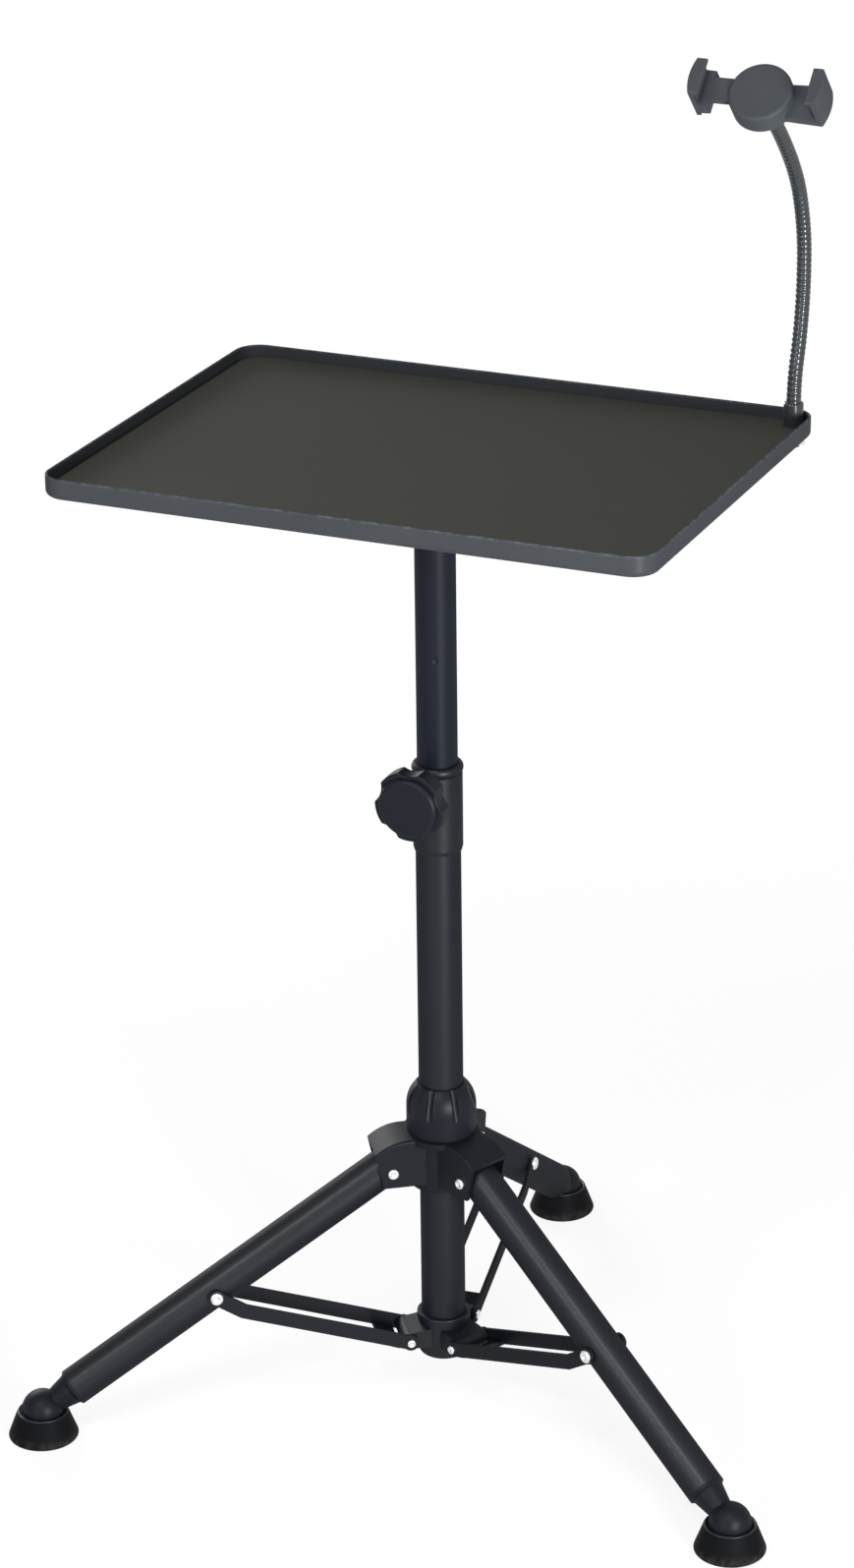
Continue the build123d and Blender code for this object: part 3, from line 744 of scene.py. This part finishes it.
class STAND_OT_weld_socket(bpy.types.Operator):
    """Runs the weld bead round the socket under the tray"""

    bl_idname = "stand.weld_socket"
    bl_label = "Weld socket"

    ripples: IntProperty(
        name="Ripples",
        description="Weld ripples in one turn",
        default=54,
        min=12,
    )
    bead: FloatProperty(
        name="Bead",
        description="Radius of the bead",
        unit="LENGTH",
        default=1.7 * MM,
        min=0.5 * MM,
    )

    # How a ripple leans and is flattened, and the share of its radius that it stands out of the corner
    LEAN = math.radians(35)
    FLATNESS = 0.8
    STAND_OUT = 0.25

    def execute(self, context):
        plate_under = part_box("socket_plate")[1].z - SOCKET_PLATE
        out = self.STAND_OUT * self.bead
        place = Matrix.Translation((SOCKET_RADIUS + out, 0, plate_under - out))
        lean = Matrix.Rotation(self.LEAN, 4, "X")
        flatten = Matrix.Diagonal((1, self.FLATNESS, 1, 1))
        weld = bmesh.new()
        for ripple in range(self.ripples):
            made = bmesh.ops.create_uvsphere(weld, u_segments=10, v_segments=6, radius=self.bead)
            turn = Matrix.Rotation(2 * math.pi * ripple / self.ripples, 4, "Z")
            bmesh.ops.transform(weld, matrix=turn @ place @ lean @ flatten, verts=made["verts"])
        coat = bpy.data.materials["black_powder_coat"]
        add_piece("socket_weld", as_mesh("socket_weld", weld), coat, "tray_head")
        return {"FINISHED"}


class STAND_OT_wind_neck(bpy.types.Operator):
    """Winds the gooseneck, bends it to its line and finishes its fittings"""

    bl_idname = "stand.wind_neck"
    bl_label = "Wind gooseneck"

    def route(self):
        """The neck's line, a smooth curve that rounds the corners of its route."""
        low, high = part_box("neck_base")
        sheet_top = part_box("tray")[0].z + TRAY_SHEET
        foot = Vector(((low.x + high.x) / 2, (low.y + high.y) / 2, sheet_top))
        heading = Vector((math.cos(NECK_HEADING), math.sin(NECK_HEADING), 0))
        line = bpy.data.curves.new("neck_line", "CURVE")
        line.dimensions = "3D"
        spline = line.splines.new("NURBS")
        spline.points.add(len(NECK_CORNERS_MM) - 1)
        for point, (out, up) in zip(spline.points, NECK_CORNERS_MM):
            corner = foot + heading * out * MM + Vector((0, 0, up * MM))
            point.co = (*corner, 1)
        spline.order_u = 3
        spline.use_endpoint_u = True
        spline.resolution_u = 24
        return line, spline.calc_length()

    def winding(self, sizes, length):
        """A straight winding that is long enough for the line: one crown, turned up a screw."""
        turns = math.ceil(length / sizes.pitch) + 1
        shape = bmesh.new()
        crown = []
        for step in range(sizes.crown_steps + 1):
            share = step / sizes.crown_steps
            radius = sizes.outside / 2 - sizes.depth * (1 - math.sin(math.pi * share))
            crown.append(shape.verts.new((radius, 0, (share - 1) * sizes.pitch)))
        edges = [shape.edges.new(pair) for pair in zip(crown, crown[1:])]
        bmesh.ops.spin(
            shape,
            geom=crown + edges,
            cent=(0, 0, 0),
            axis=(0, 0, 1),
            dvec=(0, 0, sizes.pitch / sizes.segments),
            angle=2 * math.pi * turns,
            steps=turns * sizes.segments,
        )
        bmesh.ops.remove_doubles(shape, verts=shape.verts, dist=MERGE_DISTANCE)
        ends = [edge for edge in shape.edges if edge.is_boundary]
        bmesh.ops.holes_fill(shape, edges=ends)
        bmesh.ops.recalc_face_normals(shape, faces=shape.faces)
        return as_mesh("neck_straight", shape)

    def bend(self, context, mesh, line):
        """The straight winding, bent along the line."""
        straight = put_in_scene("neck_straight", mesh)
        guide = put_in_scene("neck_guide", line)
        along = straight.modifiers.new("bend", "CURVE")
        along.object = guide
        along.deform_axis = "POS_Z"
        context.view_layer.update()
        bent = straight.evaluated_get(context.evaluated_depsgraph_get())
        bent_mesh = bpy.data.meshes.new_from_object(bent)
        for helper in (straight, guide):
            bpy.data.objects.remove(helper)
        return bent_mesh

    def execute(self, context):
        line, length = self.route()
        mesh = self.bend(context, self.winding(context.scene.stand_neck, length), line)
        wire = lacquered_wire("neck_lacquered_wire", context.scene.stand_colours.neck_wire)
        neck = add_piece("neck_winding", mesh, wire, "tray_head")
        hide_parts("gooseneck")
        dress(wire, "neck_base", "neck_ferrule")
        return {"FINISHED"}


class STAND_OT_finish_holder(bpy.types.Operator):
    """Finishes the holder on the gooseneck in slate plastic"""

    bl_idname = "stand.finish_holder"
    bl_label = "Finish holder"

    def execute(self, context):
        colour = context.scene.stand_colours.holder_slate
        slate = moulded_plastic("holder_slate_plastic", colour, roughness=0.46)
        dress(slate, "holder_body", "sliding_jaw", "holder_ring")
        return {"FINISHED"}


def softbox(name, aim, power, turn, rise, reach, width, height):
    """A lamp at a turn and a rise round a point, facing it."""
    lamp = bpy.data.lights.new(name, "AREA")
    lamp.shape = "RECTANGLE"
    lamp.size, lamp.size_y = width, height
    lamp.energy = power
    turn, rise = math.radians(turn), math.radians(rise)
    level = math.cos(rise)
    back = Vector((math.sin(turn) * level, -math.cos(turn) * level, math.sin(rise)))
    box = put_in_scene(name, lamp)
    box.location = aim + back * reach
    box.rotation_euler = back.to_track_quat("Z", "Y").to_euler()
    box.visible_camera = False


def seen_share(graph):
    """1 for rays from the camera, a mirror or glass, and 0 for the light that falls on things."""
    kinds = ("Camera", "Glossy", "Transmission")
    camera, mirror, glass = (graph.node("ShaderNodeLightPath", output=f"Is {kind} Ray") for kind in kinds)
    return (camera + mirror + glass).clamped()


class STAND_OT_set_stage(bpy.types.Operator):
    """Sets the camera, the lamps, the white surround and the floor"""

    bl_idname = "stand.set_stage"
    bl_label = "Set stage"

    # Nearest and furthest that the camera sees, and the floor's reach and its gap below the feet, in metres
    SIGHT = (0.1, 50)
    FLOOR_REACH = 6
    FLOOR_GAP = 0.2 * MM

    # How white the floor is round the feet, and between which distances from the middle it turns all white
    NEAR_WHITE = 0.84
    WHITE_FROM = (0.45, 1.2)

    def camera(self, scene, look):
        """The camera that sees the stand as in the photo."""
        eye, aim = Vector(look.eye), Vector(look.aim)
        forward = (aim - eye).normalized()
        right = forward.cross(Vector((0, 0, 1))).normalized()
        up = right.cross(forward)
        across = right * math.cos(look.roll) + up * math.sin(look.roll)
        upright = up * math.cos(look.roll) - right * math.sin(look.roll)
        lens = bpy.data.cameras.new("photo_camera")
        lens.lens = look.lens
        lens.sensor_width = look.sensor
        lens.clip_start, lens.clip_end = self.SIGHT
        camera = put_in_scene("photo_camera", lens)
        turned = Matrix((across, upright, -forward)).transposed().to_4x4()
        camera.matrix_world = Matrix.Translation(eye) @ turned
        scene.camera = camera

    def surround(self, scene, look):
        """Soft light from all round, which looks white."""
        scene.world = bpy.data.worlds.new("white_surround")
        scene.world.use_nodes = True
        air = Graph(scene.world.node_tree)
        strength = look.surround + (1 - look.surround) * seen_share(air)
        light = air.node("ShaderNodeBackground", None, {"Color": WHITE, "Strength": strength})
        air.node("ShaderNodeOutputWorld", None, {"Surface": light})

    def paper(self, colour):
        """Pale paper that keeps the shadow round the feet and turns white further out."""
        paper = Finish("floor_paper")
        fleck = paper.noise(scale=40.0, detail=3.0)
        tint = paper.mottle(fleck, colour, dark=0.98, light=1.0)
        lit = paper.node("ShaderNodeBsdfDiffuse", None, {"Color": tint})
        white = paper.node("ShaderNodeEmission", None, {"Color": WHITE, "Strength": 1.0})
        away = paper.node("ShaderNodeVectorMath", {"operation": "LENGTH"}, {"Vector": paper.place()}, "Value")
        whiteness = self.NEAR_WHITE + (1 - self.NEAR_WHITE) * away.above(*self.WHITE_FROM)
        share = whiteness * seen_share(paper)
        mixed = paper.node("ShaderNodeMixShader", None, {0: share, 1: lit, 2: white})
        paper.node("ShaderNodeOutputMaterial", None, {"Surface": mixed})
        return paper.material

    def floor(self, look):
        """The sheet that the stand's feet rest on."""
        sheet = bmesh.new()
        bmesh.ops.create_grid(sheet, x_segments=1, y_segments=1, size=self.FLOOR_REACH)
        bmesh.ops.translate(sheet, vec=(0, 0, cad_box[0].z - self.FLOOR_GAP), verts=sheet.verts)
        mesh = as_mesh("studio_floor", sheet)
        mesh.materials.append(self.paper(look.floor_colour))
        floor = put_in_scene("studio_floor", mesh)

    def execute(self, context):
        scene, look = context.scene, context.scene.stand_stage
        scene.view_settings.view_transform = "Standard"
        self.camera(scene, look)
        self.surround(scene, look)
        self.floor(look)
        middle = (cad_box[0] + cad_box[1]) / 2
        for name, place in LAMPS.items():
            softbox(f"{name}_lamp", middle, getattr(look, f"{name}_power"), **place)
        return {"FINISHED"}


class STAND_PT_finishes(bpy.types.Panel):
    """Lists the stand's sizes, colours and steps"""

    bl_label = "Projector stand"
    bl_idname = "STAND_PT_finishes"
    bl_space_type = "VIEW_3D"
    bl_region_type = "UI"
    bl_category = "Stand"

    def draw(self, context):
        layout = self.layout
        for group in (context.scene.stand_colours, context.scene.stand_neck, context.scene.stand_stage):
            box = layout.box()
            for name in group.__annotations__:
                box.prop(group, name)
        for operator in OPERATORS:
            layout.operator(operator.bl_idname)


OPERATORS = (
    STAND_OT_set_stage,
    STAND_OT_coat_tubes,
    STAND_OT_mould_fittings,
    STAND_OT_plate_hardware,
    STAND_OT_rubber_feet,
    STAND_OT_bead_feet,
    STAND_OT_coat_tray,
    STAND_OT_weld_socket,
    STAND_OT_wind_neck,
    STAND_OT_finish_holder,
)
CLASSES = (StandColours, NeckSizes, StageLook, *OPERATORS, STAND_PT_finishes)


def register():
    for each_class in CLASSES:
        bpy.utils.register_class(each_class)
    bpy.types.Scene.stand_colours = PointerProperty(type=StandColours)
    bpy.types.Scene.stand_neck = PointerProperty(type=NeckSizes)
    bpy.types.Scene.stand_stage = PointerProperty(type=StageLook)


def unregister():
    for name in ("stand_stage", "stand_neck", "stand_colours"):
        delattr(bpy.types.Scene, name)
    for each_class in reversed(CLASSES):
        bpy.utils.unregister_class(each_class)


def main():
    register()
    bpy.ops.stand.set_stage()
    bpy.ops.stand.coat_tubes()
    bpy.ops.stand.mould_fittings()
    bpy.ops.stand.plate_hardware()
    bpy.ops.stand.rubber_feet()
    bpy.ops.stand.bead_feet()
    bpy.ops.stand.coat_tray()
    bpy.ops.stand.weld_socket()
    bpy.ops.stand.wind_neck()
    bpy.ops.stand.finish_holder()


if __name__ == "__main__":
    main()
